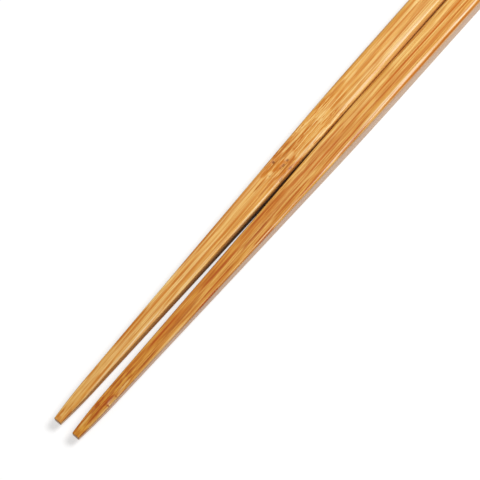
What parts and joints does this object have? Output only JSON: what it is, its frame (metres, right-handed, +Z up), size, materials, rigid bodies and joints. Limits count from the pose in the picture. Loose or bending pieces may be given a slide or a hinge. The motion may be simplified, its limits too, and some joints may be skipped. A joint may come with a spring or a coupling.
{
  "type": "pair of bamboo chopsticks",
  "caption": "Bamboo chopsticks laid side by side, each a straight square-section stick that tapers to a fine blunt tip, for picking up food.",
  "frame": {"origin": "on the table, at the middle of the pair's length and midway between the sticks", "axes": "+X from the tips towards the heads, +Y towards the left stick, +Z up"},
  "size_m": [0.24, 0.0164, 0.0075],
  "materials": {
    "left_bamboo": "sanded and oiled golden bamboo, satin",
    "right_bamboo": "sanded and oiled amber bamboo, satin"
  },
  "bodies": {
    "root": {"left_chopstick": "left_bamboo", "right_chopstick": "right_bamboo"}
  },
  "joints": []
}
